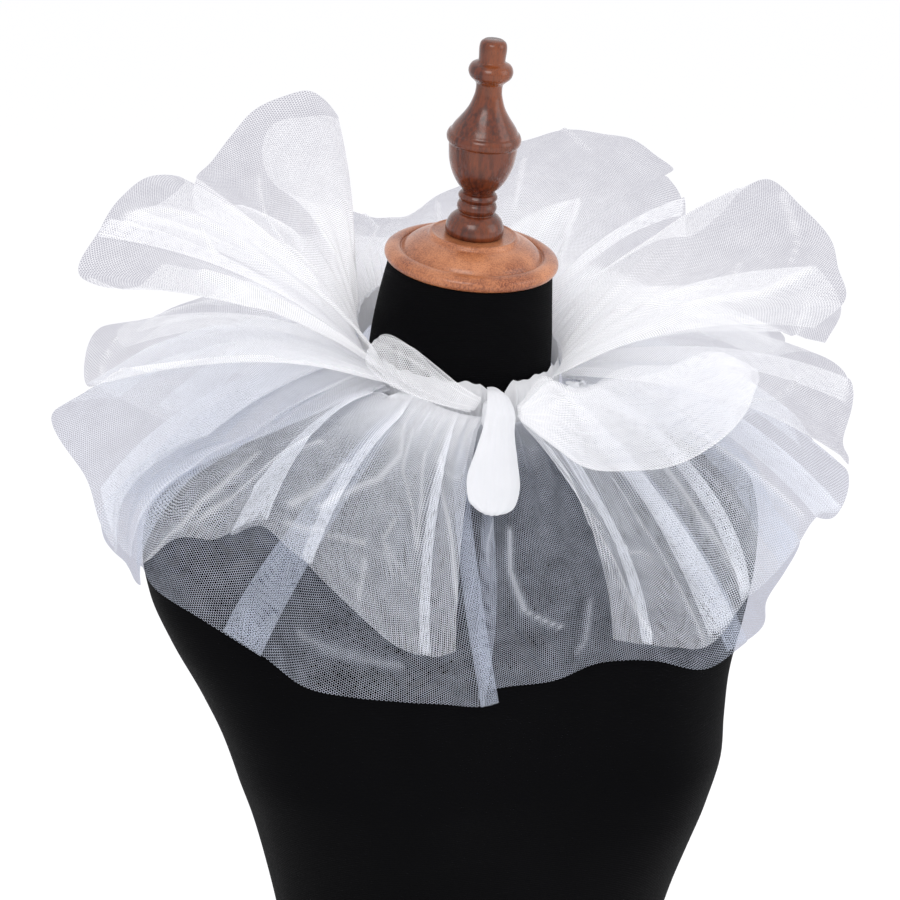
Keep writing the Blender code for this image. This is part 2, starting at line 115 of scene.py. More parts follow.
FRILL_UPPER = (
    (62, 68, 25, 196, 12), (66, 77, 19, 190, 12), (69, 86, 19, 206, 12), (73, 94, 26, 195, 12),
    (78, 103, 34, 184, 12), (84, 114, 39, 172, 12), (89, 124, 42, 154, 12), (92, 129, 38, 152, 12),
    (95, 131, 31, 158, 12), (98, 132, 26, 171, 12), (101, 134, 22, 176, 12), (104, 140, 21, 173, 12),
    (108, 150, 23, 158, 12), (113, 160, 26, 148, 12), (120, 169, 23, 140, 12), (128, 178, 16, 132, 12),
    (137, 187, 12, 135, 12), (147, 194, 9, 145, 12), (158, 201, 4, 164, 14), (172, 207, 0, 196, 16),
    (186, 213, -2, 214, 14), (196, 219, 2, 212, 14), (203, 224, 9, 231, 12), (208, 226, 0, 169, 14),
    (216, 231, -6, 171, 16), (228, 238, -4, 173, 16), (240, 246, -5, 171, 14), (252, 254, -1, 162, 14),
    (263, 263, 4, 158, 12), (274, 272, 10, 166, 12), (283, 281, 16, 173, 12), (291, 291, 11, 179, 12),
    (301, 304, 7, 166, 14),
)
FRILL_MIDDLE = (
    (50, 68, 9, 205, 14), (54, 76, 8, 201, 14), (58, 84, 4, 203, 14), (63, 92, 8, 192, 14), (69, 101, 11, 175, 16),
    (77, 111, 11, 151, 16), (84, 119, 7, 153, 14), (90, 128, 2, 163, 14), (96, 137, -3, 169, 14),
    (104, 147, 0, 162, 16), (115, 156, 1, 159, 16), (128, 168, -3, 167, 16), (141, 179, -2, 160, 16),
    (154, 190, -8, 166, 16), (167, 200, -9, 172, 16), (180, 210, -9, 176, 16), (193, 219, -9, 182, 16),
    (206, 227, -8, 192, 16), (219, 235, -9, 189, 16), (232, 243, -8, 194, 16), (244, 252, -7, 203, 16),
    (255, 261, -7, 198, 16), (263, 267, -9, 161, 14), (270, 273, -5, 176, 16), (277, 279, -5, 190, 16),
    (285, 286, -8, 191, 16), (294, 296, -14, 183, 16), (304, 306, -15, 188, 16),
)
FRILL_LOWER = (
    (10, 34, -60, 150, 18), (18, 39, -60, 155, 18), (26, 45, -57, 153, 18), (34, 50, -55, 145, 18),
    (43, 56, -47, 136, 18), (52, 63, -40, 130, 18), (60, 68, -33, 130, 18), (68, 73, -34, 150, 18),
    (76, 81, -35, 157, 18),
    (80, 84, -36.3, 178, 18), (85, 89, -36.0, 194, 18), (90, 96, -31.0, 192, 18), (95, 103, -23.2, 186, 18), (103, 113, -13, 198, 18),
    (113, 125, -14, 182, 18), (124, 138, -19, 188, 18), (136, 152, -27, 188, 18), (148, 165, -20, 185, 18),
    (160, 178, -28, 185, 18), (172, 191, -20, 185, 18), (184, 204, -27, 185, 18), (196, 217, -18, 185, 18),
    (208, 230, -26, 185, 18), (220, 243, -19, 188, 18), (232, 256, -27, 190, 18), (243, 268, -21, 200, 18),
    (253, 279, -24, 210, 18), (263, 287, -24, 216, 18), (273, 292, -30, 212, 18), (283, 297, -31, 190, 18),
    (293, 302, -37, 184, 18), (303, 306, -46, 180, 18), (314, 313, -56, 184, 18), (325, 319, -59, 172, 18),
    (335, 322, -60, 163, 18), (344, 323, -61, 156, 18), (352, 325, -61, 151, 18),
)
FRILL_UNDER = (
    (8, 14, -67, 171, 14), (14, 21, -68, 175, 14), (22, 32, -66, 176, 14), (31, 41, -63.5, 179, 14),
    (40, 51, -60, 183, 14), (49, 60, -57, 186, 14), (58, 67, -52, 181, 14), (67, 74, -46, 182, 14),
    (76, 81, -42, 184, 14), (86, 91, -39, 187, 14), (96, 103, -34, 193, 14), (105, 114, -31, 187, 14),
    (116, 126, -36, 188, 14), (128, 139, -43, 185, 14), (140, 152, -37, 185, 14), (152, 165, -44, 185, 14),
    (164, 178, -37, 185, 14), (176, 191, -44, 185, 14), (188, 204, -38, 185, 14), (200, 217, -44, 185, 14),
    (212, 230, -37, 185, 14), (224, 243, -43, 188, 14), (236, 256, -37, 192, 14), (247, 268, -38, 200, 14),
    (257, 278, -34, 210, 14), (266, 286, -38, 208, 14), (275, 291, -43, 202, 14), (284, 296, -48, 198, 14),
    (293, 301, -50, 201, 14), (303, 308, -54, 196, 14), (314, 315, -58.5, 191, 14), (325, 325, -62, 170, 14),
    (334, 333, -66, 160, 14), (341, 343, -68.3, 157, 14), (349, 359, -69.7, 161, 14), (357, 378, -69.6, 162, 14),
    # The cloth's end laps under its beginning here, where the solid stops a little short.
    (366, 389, -70, 165, 14),
)
FRILLS = {
    "frill_top": {"rows": FRILL_TOP, "lift": 10.0, "clear": 8.0},
    "frill_upper": {"rows": FRILL_UPPER, "lift": 6.0, "clear": 8.0},
    "frill_middle": {"rows": FRILL_MIDDLE, "lift": 2.0, "clear": 8.0},
    "frill_lower": {"rows": FRILL_LOWER, "lift": -3.0, "clear": 14.0},
    "frill_under": {"rows": FRILL_UNDER, "lift": -8.0, "clear": 7.0},
}
FOOT_OUT = 1.6

# ---------------------------------------------------------------- ties
# The path of each loop, out from the knot and back: place, and the width of the ribbon there.
LOOP_COLUMNS = ("x", "y", "z", "width")
LEFT_LOOP = (
    (-19, -80, 606, 9), (-34, -79, 612, 15), (-50, -76, 621, 22), (-64, -69, 630, 27), (-74, -59, 637, 27),
    (-77, -50, 640, 24), (-70, -53, 638, 25), (-60, -62, 629, 25), (-48, -69, 619, 20), (-32, -73, 610, 13),
    (-20, -75, 604, 8),
)
DROP_LOOP = (
    (-6, -74, 614.5, 12), (-7, -84, 612, 18), (-8, -91, 603, 22), (-10, -92.5, 592, 23), (-14, -98.5, 578, 29),
    (-19, -106, 563, 35), (-23, -112, 551, 30), (-25, -112.5, 545, 15), (-25, -107, 549, 24), (-20, -100, 562, 28),
    (-14, -92.5, 576, 21), (-10, -88, 586, 12),
)
# The big soft loop at the wearer's left: its lower folded edge, how high it stands there, and how thick it is.
SIDE_LOOP_COLUMNS = ("x", "y", "z", "rise", "depth")
SIDE_LOOP = (
    (5, -90, 596, 8, 5), (20, -104, 582, 26, 8), (35, -121, 570, 46, 10), (58, -130, 568, 60, 12),
    (91, -128, 569, 68, 13), (121, -126, 581, 62, 12), (141, -123, 597, 42, 10), (150, -120, 613, 14, 6),
)
SIDE_LOOP_LEAN = 0.36
# How much of its full width a loop keeps, along its path.
LEFT_WAIST = ((0, 0.3, 0.44, 0.5, 0.56, 0.7, 1), (1, 1, 0.84, 0.66, 0.84, 1, 1))
DROP_WAIST = ((0, 0.16, 0.30, 0.45, 1), (0.75, 0.86, 0.92, 1.0, 1))
KNOT = {"centre": (-7.0, -79.0, 599.0), "size": (19.0, 13.0, 20.0)}


def hermite(table, at):
    """Reads every other column of a table at places along its first, with no overshoot between rows."""
    rows = np.array(table, float)
    x, y = rows[:, 0], rows[:, 1:]
    step = np.diff(x)[:, None]
    rise = np.diff(y, axis=0) / step
    slope = np.zeros_like(y)
    both = rise[:-1] + rise[1:]
    slope[1:-1] = np.where(rise[:-1] * rise[1:] > 0, 2 * rise[:-1] * rise[1:] / np.where(both == 0, 1, both), 0)
    slope[0], slope[-1] = rise[0], rise[-1]
    at = np.atleast_1d(np.asarray(at, float))
    i = np.clip(np.searchsorted(x, at) - 1, 0, len(x) - 2)
    h = (x[i + 1] - x[i])[:, None]
    u = ((at - x[i]) / (x[i + 1] - x[i]))[:, None]
    return (
        (2 * u**3 - 3 * u**2 + 1) * y[i] + (u**3 - 2 * u**2 + u) * h * slope[i]
        + (3 * u**2 - 2 * u**3) * y[i + 1] + (u**3 - u**2) * h * slope[i + 1]
    )


def spline(rows, at):
    """A smooth curve through the rows of a table; at runs from 0 at the first row to 1 at the last."""
    t = np.array(rows, float)
    n = len(t)
    t = np.vstack([2 * t[0] - t[1], t, 2 * t[-1] - t[-2]])
    x = np.asarray(at, float) * (n - 1)
    i = np.clip(x.astype(int), 0, n - 2)
    u = (x - i)[..., None]
    a, b, c, d = t[i], t[i + 1], t[i + 2], t[i + 3]
    return 0.5 * (2 * b + (c - a) * u + (2 * a - 5 * b + 4 * c - d) * u**2 + (3 * b - a - 3 * c + d) * u**3)


def bust_out(x, z):
    return sum(
        BUST["out"] * np.exp(-(((x - side * BUST["side"]) / BUST["wide"]) ** 2) - ((z - BUST["height"]) / BUST["tall"]) ** 2)
        for side in (-1, 1)
    )


def torso_ring(height, angles):
    half_width, front, back, centre_y, power = hermite(TORSO, height)[0]
    s, c = np.sin(angles), np.cos(angles)
    x = -half_width * np.sign(s) * np.abs(s) ** (2 / power)
    y = -np.where(c > 0, front, back) * np.sign(c) * np.abs(c) ** (2 / power)
    y = y - np.where(c > 0, bust_out(x, height), 0)
    return np.stack([x, y + centre_y, np.full_like(x, height)], -1)


def neck_ring(row, angles):
    height, centre_y, tilt, radius = row
    tilt = math.radians(tilt)
    front = np.array([0, -math.cos(tilt), -math.sin(tilt)])
    return np.array([0, centre_y, height]) + radius * (
        np.sin(angles)[:, None] * np.array([-1.0, 0, 0]) + np.cos(angles)[:, None] * front
    )


def depth_in_torso(points, clear):
    """1 on the torso's surface grown by clear, less inside it, more outside."""
    level = np.clip(points[:, 2] - 0.7 * clear, 0, TORSO[-1][0])
    half_width, front, back, centre_y, power = hermite(TORSO, level).T
    y = points[:, 1] - centre_y
    depth = np.where(y < 0, front + bust_out(points[:, 0], level), back)
    return ((np.abs(points[:, 0]) / (half_width + clear)) ** power + (np.abs(y) / (depth + clear)) ** power) ** (1 / power)


def settle(points, clear, steps=10):
    """Moves each point that lies inside the torso, grown by clear, square out to its surface."""
    q = np.array(points, float)
    shape = q.shape
    q = q.reshape(-1, 3)
    left = np.arange(len(q))
    for _ in range(steps):
        here = depth_in_torso(q[left], clear)
        inside = (here < 1) & (q[left, 2] < TORSO[-1][0] + clear)
        left, here = left[inside], here[inside]
        if not len(left):
            break
        at = q[left]
        slope = np.stack([(depth_in_torso(at + e, clear) - depth_in_torso(at - e, clear)) / 2 for e in np.eye(3)], -1)
        size = np.maximum((slope**2).sum(axis=1), 1e-6)
        q[left] = at + np.minimum((1 - here) / size, 12 / np.sqrt(size))[:, None] * slope
    return q.reshape(shape)


def foot_point(angle, lift, out):
    r = BAND["radius"] + out
    return np.stack(
        [
            -r * np.sin(angle),
            BAND["centre_y"] - r * np.cos(angle),
            BAND["height"] - BAND["slope"] * BAND["radius"] * np.cos(angle) + lift,
        ],
        -1,
    )


def frill_grid(rows, lift, clear, along, across):
    """The middle surface of a frill, from its foot on the neckband to its free edge."""
    v = spline(rows, along)
    foot, azimuth, elevation = (np.radians(v[:, k])[:, None] for k in range(3))
    reach, bow = v[:, 3][:, None, None], v[:, 4][:, None, None]
    start = foot_point(foot[:, 0], lift, FOOT_OUT)[:, None, :]
    point = np.stack([-np.sin(azimuth) * np.cos(elevation), -np.cos(azimuth) * np.cos(elevation), np.sin(elevation)], -1)
    over = np.stack([np.sin(azimuth) * np.sin(elevation), np.cos(azimuth) * np.sin(elevation), np.cos(elevation)], -1)
    t = np.asarray(across)[None, :, None]
    grid = start + point * (reach * t) + over * (bow * 4 * t * (1 - t))
    return settle(grid, clear)


# ---------------------------------------------------------------- looks of the net
# Net: the distance between its holes, and the share of the cloth that thread covers, for each frill.
PITCH = 1.45
NET_COLUMNS = ("cover", "colour", "through")
# Colour is painted shade on one white tulle: a little grey on the upper frills, bluish on frill_lower and lilac-grey on
# frill_under. Root raises the gather near the neckband, which closes up the net and, through the net's tint, whitens it
# there as painted light.
NETS = {
    "frill_top": {"cover": 0.34, "colour": (0.92, 0.92, 0.935), "through": 0.5, "root": (0.62, 0.42)},
    "frill_upper": {"cover": 0.34, "colour": (0.92, 0.92, 0.935), "through": 0.5, "root": (0.70, 0.46)},
    "frill_middle": {"cover": 0.33, "colour": (0.92, 0.92, 0.935), "through": 0.5, "root": (0.70, 0.46)},
    "frill_lower": {"cover": 0.33, "colour": (0.88, 0.90, 0.955), "through": 0.45, "root": (0.78, 0.28)},
    "frill_under": {"cover": 0.23, "colour": (0.66, 0.71, 0.83), "through": 0.4, "root": (0.40, 0.14)},
}

# Fold-over pleats: where each lies on the neckband and at the free edge, its width in degrees round the
# band, how far apart its layers stand, and how far its inner layers fall short of the free edge.
PLEAT_COLUMNS = ("foot", "hem", "width", "depth", "short")
PLEATS = {
    "frill_top": ((252, 250, 1.6, 3, 0.0),),
    "frill_upper": ((76, 74, 1.4, 3, 0.02), (102, 100, 1.5, 3, 0.04), (222, 226, 2.4, 4, 0.05), (262, 258, 2.0, 4, 0.04)),
    "frill_middle": (
        (96, 100, 2.4, 4, 0.05), (130, 127, 4.5, 6, 0.04), (172, 175, 4.0, 6, 0.05), (212, 209, 4.5, 6, 0.03),
        (248, 252, 2.6, 5, 0.05), (288, 285, 1.8, 4, 0.03),
    ),
    "frill_lower": (
        (23, 19, 1.3, 3, 0.02), (45, 49, 1.6, 3, 0.03), (65, 63, 4.4, 5, 0.05), (80, 82, 1.8, 3, 0.03),
        (94, 90, 4.0, 6, 0.03), (112, 115, 4.5, 7, 0.05), (140, 136, 5, 7, 0.04), (166, 170, 4.5, 7, 0.05), (196, 192, 5, 7, 0.04),
        (224, 228, 4.4, 7, 0.05), (252, 249, 3, 6, 0.04), (274, 276, 3.4, 6, 0.03), (297, 304, 1.5, 3, 0.03), (318, 311, 2.6, 4, 0.03),
        (343, 337, 1.5, 3, 0.01),
    ),
    "frill_under": (
        (21, 10.6, 2.2, 3, 0.0), (53, 62, 4.1, 4, 0.0), (84, 86, 3.4, 5, 0.02), (120, 117, 5, 6, 0.03), (150, 154, 4.4, 6, 0.02),
        (180, 176, 5, 6, 0.03), (212, 215, 4.4, 6, 0.02), (242, 239, 5, 6, 0.03), (272, 270, 3.4, 5, 0.02), (306, 303, 2.4, 4, 0.01),
    ),
}
# Creases: how wide in degrees round the neckband, how high, and the places the ridge runs through, each as
# degrees round the neckband and share of the way to the free edge.
CREASE_COLUMNS = ("width", "height", "places")
CREASES = {
    "frill_top": (
        (0.7, 2.4, (73.5, 1), (72.6, 0.88), (71.4, 0.64), (78.3, 0.39)),
        (0.6, 2.2, (85.9, 0.8), (78.3, 0.67), (72.1, 0.54)),
        (0.6, 2.2, (92, 0.45), (94.1, 0.33)),
        (0.5, 1.8, (71.4, 0.64), (72.8, 0.49), (70.5, 0.39)),
        (0.6, 2.2, (292.1, 0.98), (301.3, 0.92), (310.1, 0.85)),
        (0.7, 2.6, (312.2, 0.92), (316.1, 0.73), (314.6, 0.5), (299.7, 0.26)),
        (0.5, 2.0, (309.3, 0.57), (305.1, 0.36)),
        (0.5, 1.8, (305.8, 0.69), (312.2, 0.65), (315.3, 0.59)),
        (0.6, 2.2, (208.3, 0.72), (214, 0.4)),
        (0.5, 1.8, (212.3, 1), (217.5, 0.9), (222.7, 0.83)),
        (0.8, 2.4, (232, 0.53), (236.1, 0.36), (246.4, 0.23)),
        (0.7, 2.2, (150, 0.35), (156, 0.6), (153, 0.92)),
        (0.6, 2, (186, 0.3), (181, 0.62)),
        (0.6, 2.2, (262, 0.3), (270, 0.62), (284, 0.9)),
    ),
    "frill_upper": (
        (0.7, 2.4, (75.6, 0.95), (78.5, 0.87), (79.9, 0.78), (81, 0.64), (80.3, 0.47), (81.6, 0.25)),
        (0.9, 3.0, (62, 0.85), (62, 0.74), (62.6, 0.66), (66.2, 0.5), (67.7, 0.33)),
        (0.7, 2.4, (68.4, 0.98), (65.9, 1), (66.9, 0.73), (67.3, 0.54)),
        (0.5, 2.0, (78.8, 0.73), (75, 0.63), (75.1, 0.58)),
        (0.7, 2.4, (291.4, 0.49), (298.7, 0.69), (301, 0.85)),
        (0.6, 2.0, (290.7, 0.89), (297.7, 0.88), (301, 0.9)),
        (0.8, 2.6, (110, 0.3), (118, 0.6), (115, 0.95)),
        (0.6, 2, (140, 0.25), (150, 0.55)),
        (0.8, 2.6, (176, 0.3), (188, 0.6), (193, 0.95)),
        (0.6, 2, (214, 0.35), (206, 0.7)),
        (0.8, 2.4, (248, 0.3), (241, 0.62), (246, 0.95)),
    ),
    "frill_middle": (
        (0.7, 2.4, (53.9, 1), (50, 0.98)),
        (0.6, 2.2, (64.3, 0.91), (53.2, 1), (50, 0.97)),
        (0.7, 2.2, (52.5, 1), (50, 0.82), (50, 0.56)),
        (0.6, 2.0, (304, 0.6), (292, 0.75), (287.1, 0.81)),
        (0.7, 2.2, (304, 0.64), (304, 0.8), (304, 0.97)),
        (0.8, 2.4, (96, 0.3), (104, 0.6), (101, 0.95)),
        (0.7, 2, (138, 0.4), (130, 0.75)),
        (0.9, 2.6, (176, 0.25), (184, 0.6), (180, 0.95)),
        (0.7, 2, (222, 0.35), (230, 0.7)),
        (0.8, 2.4, (262, 0.3), (256, 0.66)),
    ),
    "frill_lower": (
        (0.7, 2.6, (41.1, 0.15), (37.1, 0.29), (39.8, 0.46), (44.6, 0.58), (49.7, 0.76)),
        (0.5, 2.2, (37.8, 0.15), (34.3, 0.34), (26.9, 0.48), (23.6, 0.62)),
        (0.5, 2.0, (28.8, 0.24), (25.2, 0.42), (23.6, 0.62)),
        (0.6, 2.4, (23.4, 0.21), (18.2, 0.39), (13.3, 0.56), (10, 0.81)),
        (0.5, 2.0, (24, 0.24), (15.8, 0.29), (13.3, 0.3)),
        (0.6, 2.2, (55.6, 0.92), (50.2, 0.87), (41.1, 0.77), (38, 0.73)),
        (0.5, 1.8, (31.9, 0.55), (33.9, 0.66), (29, 0.76)),
        (0.5, 1.8, (33.9, 0.66), (27.1, 0.72), (21.1, 0.79)),
        (0.8, 2.2, (49.1, 0.51), (51.6, 0.68), (56, 0.85)),
        (0.5, 1.6, (37.3, 0.79), (37.3, 0.95)),
        (0.6, 2.2, (349.3, 0.19), (352, 0.43), (349.1, 0.61), (343.6, 0.81), (335.5, 0.97)),
        (0.6, 2.8, (352, 0.45), (346.8, 0.55)),
        (0.5, 2.0, (347.8, 0.57), (335.8, 0.65), (326.9, 0.67)),
        (0.5, 2.0, (325.4, 0.36), (324.6, 0.54), (319, 0.8), (315.8, 0.99)),
        (0.5, 2.0, (305.5, 0.46), (306.3, 0.66), (304.5, 0.96)),
        (0.5, 1.8, (352, 0.56), (348.4, 0.75), (339.1, 0.92)),
        (0.7, 2.2, (73.8, 0.94), (69.3, 0.82), (64.9, 0.7), (57.9, 0.51)),
        (0.7, 2.2, (80.7, 1), (76.6, 0.96), (73.2, 0.8), (71.6, 0.61)),
        (0.8, 2.4, (104, 0.25), (112, 0.55), (108, 0.9)),
        (0.6, 2, (132, 0.3), (126, 0.6)),
        (0.8, 2.6, (156, 0.25), (164, 0.5), (161, 0.85)),
        (0.6, 2, (188, 0.35), (180, 0.6)),
        (0.8, 2.4, (212, 0.25), (220, 0.6), (216, 0.95)),
        (0.6, 2.2, (262, 0.3), (256, 0.65)),
        (0.7, 2.2, (284, 0.25), (290, 0.6), (286, 0.95)),
    ),
    "frill_under": (
        (0.6, 2.6, (356.8, 0.42), (357, 0.57), (354.2, 0.73), (347.4, 0.81)),
        (0.5, 1.8, (8, 0.36), (10.4, 0.45), (10.3, 0.52)),
        (0.6, 1.4, (52.2, 0.86), (42.3, 0.87), (31, 0.88)),
        (0.6, 1.6, (339.6, 0.76), (341.7, 0.9), (344.3, 0.93)),
        (0.7, 2, (100, 0.5), (106, 0.85)),
        (0.7, 2, (146, 0.45), (140, 0.85)),
        (0.7, 2, (194, 0.45), (202, 0.85)),
        (0.7, 2, (236, 0.4), (230, 0.8)),
        (0.6, 1.8, (282, 0.45), (276, 0.85)),
    ),
}

SHEET_FACTS = {}


def frill_surface(name, columns, rows_across):
    """A frill's fine middle surface: the table's form, its fold-over pleats, and the gathers at the neckband."""
    frill = FRILLS[name]
    rows = frill["rows"]
    feet = np.array([r[0] for r in rows], float)
    dense = np.linspace(0, 1, 900)
    foot_at = spline(rows, dense)[:, 0]
    across = np.linspace(0, 1, rows_across) ** 1.15
    base = frill_grid(rows, frill["lift"], frill["clear"], dense, across)
    du, dv = np.gradient(base, axis=0), np.gradient(base, axis=1)
    normal = np.cross(du, dv)
    normal /= np.maximum(np.linalg.norm(normal, axis=-1, keepdims=True), 1e-9)

    # Points stand closer together round the front, where the finest folds are.
    place = np.linspace(feet[0], feet[-1], 2000)
    share = np.cumsum(1 + 1.4 * (0.5 + 0.5 * np.cos(np.radians(place - 10))) ** 2)
    p = np.interp(np.linspace(share[0], share[-1], columns), share, place)[:, None]
    t = across[None, :]
    f = np.repeat(p, rows_across, axis=1)
    off = np.zeros_like(f)
    shorter = np.zeros_like(f)
    for foot, hem, width, depth, short in PLEATS[name]:
        centre = foot + (hem - foot) * t
        x = (p - centre) / width
        bell = np.exp(-(x**2) / 2)
        opening = np.clip(t / 0.12, 0, 1)
        f = f - 3.0 * width * x * bell * (0.35 + 0.65 * opening)
        off = off + depth * x * bell * 1.5 * np.clip(0.15 + t / 0.4, 0, 1)
        shorter = shorter + short * bell * opening
    ends = np.clip((p - feet[0]) / 2.0, 0, 1) * np.clip((feet[-1] - p) / 2.0, 0, 1)
    # Gathers, finest and deepest at the neckband.
    seed = sum(ord(c) for c in name)
    rng = np.random.default_rng(seed)
    for wave, height, reach in ((3.1, 0.9, 0.16), (5.3, 1.5, 0.28), (9.0, 2.4, 0.5), (17.0, 3.0, 0.9)):
        phase = rng.uniform(0, 6.28)
        drift = rng.uniform(-0.25, 0.25)
        wander = 0.35 * wave * np.sin(p / (wave * 2.7) + phase * 2)
        swell = 0.6 + 0.4 * np.sin(p / (wave * 1.9) + phase * 3)
        rise = np.clip(t / (0.35 * reach), 0, 1) ** 0.8 * np.exp(-((t / reach) ** 2) * 0.9)
        off = off + height * swell * rise * np.sin(2 * math.pi * (p + wander + drift * wave * t * 4) / wave + phase)
    off = off * ends
    f = np.clip(f, feet[0], feet[-1])
    # Sharp creases, listed one by one, which also draw the threads together along them; through the net's tint this
    # also whitens the net along each ridge, a painted highlight.
    line = np.zeros_like(f)
    for width, height, *places in CREASES[name]:
        for (f0, t0), (f1, t1) in zip(places, places[1:]):
            low_t, high_t = min(t0, t1), max(t0, t1)
            if high_t - low_t > 0.06:
                at = f0 + (f1 - f0) * (t - t0) / (t1 - t0)
                along = (t - low_t) / (high_t - low_t)
                shape = np.exp(-(((f - at) / width) ** 2) / 2) * np.clip(1 + along / 0.12, 0, 1) * np.clip(1 + (1 - along) / 0.12, 0, 1)
            else:
                at = t0 + (t1 - t0) * (f - f0) / (f1 - f0)
                along = (f - f0) / (f1 - f0)
                shape = np.exp(-(((t - at) / (width * 0.016)) ** 2) / 2) * np.clip(1 + along / 0.12, 0, 1) * np.clip(1 + (1 - along) / 0.12, 0, 1)
            shape = shape * np.where((along > -0.12) & (along < 1.12), 1.0, 0.0)
            line = np.maximum(line, shape * min(1.0, height / 2.6))
    off = off + line * 2.2
    index = np.interp(f, foot_at, np.arange(len(dense)))
    low = np.clip(index.astype(int), 0, len(dense) - 2)
    part = (index - low)[..., None]
    # Where a pleat's layers fall short, its rows are read a little nearer the neckband.
    near = np.clip(t * (1 - shorter), 0, 1)
    row = np.interp(near.ravel(), across, np.arange(rows_across)).reshape(near.shape)
    j = np.clip(row.astype(int), 0, rows_across - 2)
    rest = (row - j)[..., None]
    point = (base[low, j] * (1 - part) + base[low + 1, j] * part) * (1 - rest) + (base[low, j + 1] * (1 - part) + base[low + 1, j + 1] * part) * rest
    n = normal[low, j] * (1 - part) + normal[low + 1, j] * part
    n /= np.maximum(np.linalg.norm(n, axis=-1, keepdims=True), 1e-9)
    grid = point + n * off[..., None]
    return settle(grid, 2.0, 4), across, line


def flat_sizes(grid):
    """The cloth's own length and width at each point, and how tightly it is gathered there."""
    run = np.linalg.norm(np.diff(grid, axis=0), axis=-1)
    widest = np.maximum(run[:, -grid.shape[1] // 3 :].mean(axis=1), 0.2)
    along = np.concatenate([[0], np.cumsum(widest)])
    rise = np.linalg.norm(np.diff(grid, axis=1), axis=-1).mean(axis=0)
    across = np.concatenate([[0], np.cumsum(rise)])
    here = np.vstack([run, run[-1:]])
    smooth = np.stack([np.convolve(here[:, j], np.ones(25) / 25, mode="same") for j in range(here.shape[1])], 1)
    want = np.convolve(np.append(widest, widest[-1]), np.ones(25) / 25, mode="same")
    ratio = want[:, None] / np.maximum(smooth, 0.02)
    return along, across, np.clip(ratio, 1.0, 6.0)


def sheet_object(name, grid, finish, gather=None, uv=None):
    """An open sheet of cloth on a grid of points."""
    rows, columns = grid.shape[:2]
    a = np.arange((rows - 1) * columns).reshape(rows - 1, columns)[:, :-1]
    quads = np.stack([a, a + columns, a + columns + 1, a + 1], -1).reshape(-1, 4)
    mesh = bpy.data.meshes.new(name)
    mesh.from_pydata((grid.reshape(-1, 3) * MM).tolist(), [], quads.tolist())
    layer = mesh.uv_layers.new(name="cloth")
    if uv is not None:
        flat = uv.reshape(-1, 2)[quads.reshape(-1)] * MM
        layer.data.foreach_set("uv", flat.astype(np.float32).ravel())
    held = mesh.attributes.new("gather", "FLOAT", "POINT")
    if gather is not None:
        held.data.foreach_set("value", gather.astype(np.float32).ravel())
    mesh.shade_smooth()
    mesh.update()
    obj = bpy.data.objects.new(name, mesh)
    bpy.context.scene.collection.objects.link(obj)
    mesh.materials.append(finish)
    return obj


def closed_object(name, rings, finish, caps=True):
    """A closed surface through rings of equal count."""
    rings = np.array(rings)
    k, count = rings.shape[:2]
    points = rings.reshape(-1, 3)
    i = np.arange(count)
    j = (i + 1) % count
    faces = []
    for r in range(k - 1):
        faces.append(np.stack([r * count + i, r * count + j, (r + 1) * count + j, (r + 1) * count + i], -1))
    faces = np.concatenate(faces).tolist()
    if caps:
        faces = [tuple(reversed(range(count)))] + faces + [tuple(range((k - 1) * count, k * count))]
    mesh = bpy.data.meshes.new(name)
    mesh.from_pydata((points * MM).tolist(), [], faces)
    mesh.shade_smooth()
    mesh.set_sharp_from_angle(angle=math.radians(50))
    mesh.update()
    obj = bpy.data.objects.new(name, mesh)
    bpy.context.scene.collection.objects.link(obj)
    mesh.materials.append(finish)
    return obj


# ---------------------------------------------------------------- materials
class Tree:
    """Short names for making shader nodes."""

    def __init__(self, name):
        self.material = bpy.data.materials.new(name)
        self.material.use_nodes = True
        self.nodes, self.links = self.material.node_tree.nodes, self.material.node_tree.links
        self.nodes.clear()
        self.out = self.nodes.new("ShaderNodeOutputMaterial")

    def add(self, kind, **settings):
        node = self.nodes.new(kind)
        for key, value in settings.items():
            setattr(node, key, value)
        return node

    def feed(self, socket, value):
        if hasattr(value, "is_output"):
            self.links.new(value, socket)
        elif value is not None:
            socket.default_value = value

    def math(self, operation, a, b=None, c=None, clamp=False):
        node = self.add("ShaderNodeMath", operation=operation, use_clamp=clamp)
        for socket, value in zip(node.inputs, (a, b, c)):
            self.feed(socket, value)
        return node.outputs[0]

    def remap(self, value, a, b, c, d, kind="SMOOTHSTEP"):
        node = self.add("ShaderNodeMapRange", interpolation_type=kind)
        for socket, v in zip(node.inputs, (value, a, b, c, d)):
            self.feed(socket, v)
        return node.outputs[0]

    def noise(self, vector, scale, detail=3.0, rough=0.55):
        node = self.add("ShaderNodeTexNoise")
        self.feed(node.inputs["Vector"], vector)
        node.inputs["Scale"].default_value = scale
        node.inputs["Detail"].default_value = detail
        node.inputs["Roughness"].default_value = rough
        return node.outputs["Fac"]

    def blend(self, fac, a, b, kind="MIX"):
        node = self.add("ShaderNodeMix", data_type="RGBA", blend_type=kind)
        self.feed(node.inputs[0], fac)
        self.feed(node.inputs[6], a)
        self.feed(node.inputs[7], b)
        return node.outputs[2]

    def stretch(self, vector, scale):
        node = self.add("ShaderNodeMapping")
        self.feed(node.inputs["Vector"], vector)
        node.inputs["Scale"].default_value = scale
        return node.outputs[0]

    def bump(self, height, distance, strength=1.0, normal=None):
        node = self.add("ShaderNodeBump")
        node.inputs["Distance"].default_value = distance
        node.inputs["Strength"].default_value = strength
        self.feed(node.inputs["Height"], height)
        if normal is not None:
            self.feed(node.inputs["Normal"], normal)
        return node.outputs[0]


def cover_level(cover):
    """Where to cut the net's wave so that thread covers this share of the cloth."""
    a, b = np.meshgrid(np.linspace(0, 2 * math.pi, 160, endpoint=False), np.linspace(0, 2 * math.pi, 160, endpoint=False))
    wave = np.cos(a) + np.cos(b) + np.cos(a - b)
    return float(np.quantile(wave, cover))


